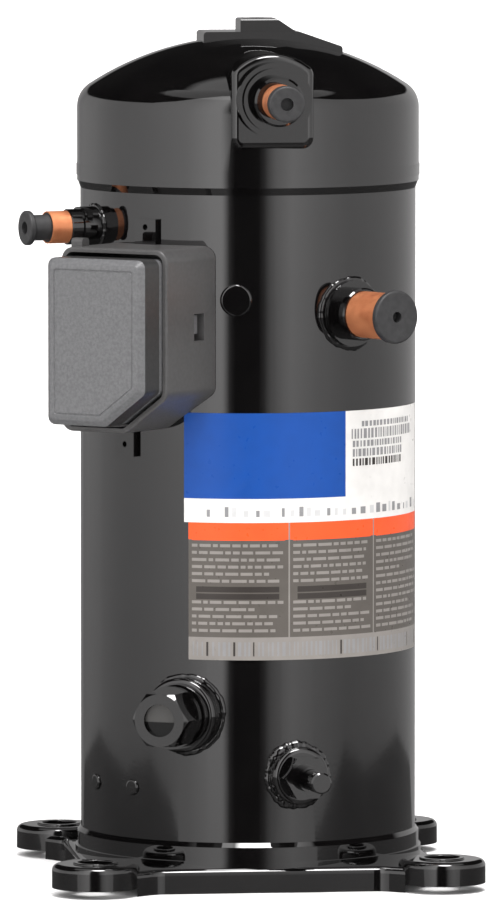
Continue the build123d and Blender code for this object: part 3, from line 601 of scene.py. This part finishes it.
class Sky:
    """World nodes: the direction of a ray, seen from the camera's azimuth, and sums made from it."""

    def __init__(self):
        world = bpy.data.worlds.new("studio")
        bpy.context.scene.world = world
        world.use_nodes = True
        world.node_tree.nodes.clear()
        self.make, self.link = world.node_tree.nodes.new, world.node_tree.links.new
        turn = self.make("ShaderNodeVectorRotate")
        turn.rotation_type = "Z_AXIS"
        turn.inputs["Angle"].default_value = -CAMERA_TURN
        self.link(self.make("ShaderNodeTexCoord").outputs["Generated"], turn.inputs["Vector"])
        split = self.make("ShaderNodeSeparateXYZ")
        self.link(turn.outputs["Vector"], split.inputs["Vector"])
        self.axes = split.outputs
        # azimuth 0 is behind the camera, -90 to its left; as a share of the whole turn
        turned = self.maths("ARCTAN2", self.axes["X"], self.maths("MULTIPLY", self.axes["Y"], -1))
        self.azimuth = self.maths("MULTIPLY_ADD", turned, 0.5 / math.pi, 0.5)
        self.elevation = self.maths("MULTIPLY", self.maths("ARCSINE", self.axes["Z"]), 180 / math.pi)

    def maths(self, operation, *values):
        made = self.make("ShaderNodeMath")
        made.operation = operation
        for socket, value in zip(made.inputs, values):
            if isinstance(value, (int, float)):
                socket.default_value = value
            else:
                self.link(value, socket)
        return made.outputs["Value"]

    def product(self, *values):
        result = values[0]
        for value in values[1:]:
            result = self.maths("MULTIPLY", result, value)
        return result

    def total(self, *values):
        result = values[0]
        for value in values[1:]:
            result = self.maths("ADD", result, value)
        return result

    def between(self, low, high, value):
        return self.maths("MAXIMUM", low, self.maths("MINIMUM", high, value))

    def around(self, stops, low, high):
        """A value that changes with the azimuth."""
        made = self.make("ShaderNodeValToRGB")
        ramp_stops(made, stops, low, high)
        self.link(self.azimuth, made.inputs["Fac"])
        return self.maths("MULTIPLY_ADD", made.outputs["Color"], high - low, low)

    def rise(self, value, low, high):
        """0 under low, 1 over high."""
        share = self.maths("DIVIDE", self.maths("SUBTRACT", value, low), high - low)
        return self.between(0.0, 1.0, share)

    def below(self, limit, soft):
        """1 where the elevation is under the limit, fading over soft degrees."""
        share = self.maths("DIVIDE", self.maths("SUBTRACT", limit, self.elevation), soft)
        return self.between(0.0, 1.0, share)

    def nearness(self, azimuth, elevation):
        """Cosine of the angle to a direction."""
        a, e = math.radians(azimuth), math.radians(elevation)
        toward = (math.sin(a) * math.cos(e), -math.cos(a) * math.cos(e), math.sin(e))
        return self.total(*(self.maths("MULTIPLY", self.axes[i], toward[i]) for i in range(3)))


def studio():
    """Soft walls, a lamp for the glints, even light for dull surfaces, and a white backdrop."""
    sky = Sky()
    patches = sky.below(sky.around(FLOOR_DARK, -8, -5), PATCH_SOFT)
    patches = sky.maths("SUBTRACT", 1.0, sky.maths("MULTIPLY", patches, PATCH_DEPTH))
    sink = sky.maths("MULTIPLY_ADD", sky.elevation, SINK_RATE, SINK_LEVEL)
    sink = sky.between(SINK_LEAST, 1.0, sink)
    tops = sky.below(sky.around(WALL_TOPS, 0, 90), WALL_SOFT)
    walls = sky.product(sky.around(WALL_LIGHT, 0, 4), tops, patches, sink)
    overhead = sky.maths("SUBTRACT", 1.0, sky.below(OVERHEAD_FROM, OVERHEAD_SOFT))
    overhead = sky.maths("MULTIPLY", overhead, OVERHEAD)
    edges = (math.cos(math.radians(LAMP_HALF + soft)) for soft in (LAMP_SOFT, 0))
    lamp = sky.rise(sky.nearness(LAMP_AZIMUTH, LAMP_ELEVATION), *edges)
    lamp = sky.maths("MULTIPLY", lamp, LAMP)
    mirrored = sky.total(walls, overhead, lamp, LEAST_LIGHT)
    key = sky.maths("MAXIMUM", sky.nearness(KEY_AZIMUTH, KEY_ELEVATION), 0.0)
    even = sky.maths("MULTIPLY_ADD", key, KEY, SOFT)

    rays = sky.make("ShaderNodeLightPath").outputs
    dull = rays["Is Diffuse Ray"]
    light = sky.maths("MULTIPLY", mirrored, sky.maths("SUBTRACT", 1.0, dull))
    light = sky.total(light, sky.maths("MULTIPLY", even, dull))
    light = sky.maths("MAXIMUM", light, sky.maths("MULTIPLY", rays["Is Camera Ray"], BACKDROP))
    tint = sky.make("ShaderNodeCombineColor")
    for socket, share in TINT.items():
        sky.link(sky.maths("MULTIPLY", light, share), tint.inputs[socket])
    background = sky.make("ShaderNodeBackground")
    sky.link(tint.outputs["Color"], background.inputs["Color"])
    sky.link(background.outputs["Background"], sky.make("ShaderNodeOutputWorld").inputs["Surface"])


def camera():
    data = bpy.data.cameras.new("camera")
    data.lens = LENS
    data.clip_end = 100
    made = bpy.data.objects.new("camera", data)
    bpy.context.scene.collection.objects.link(made)
    away = Vector((math.sin(CAMERA_TURN), -math.cos(CAMERA_TURN), 0)) * CAMERA_REACH
    made.matrix_world = (
        Matrix.Translation(away + Vector((0, 0, CAMERA_HEIGHT)))
        @ Matrix.Rotation(CAMERA_TURN + CAMERA_YAW, 4, "Z")
        @ Matrix.Rotation(math.pi / 2 - CAMERA_PITCH, 4, "X")
    )
    bpy.context.scene.camera = made


camera()
floor()
studio()
bpy.context.scene.view_settings.view_transform = "Standard"
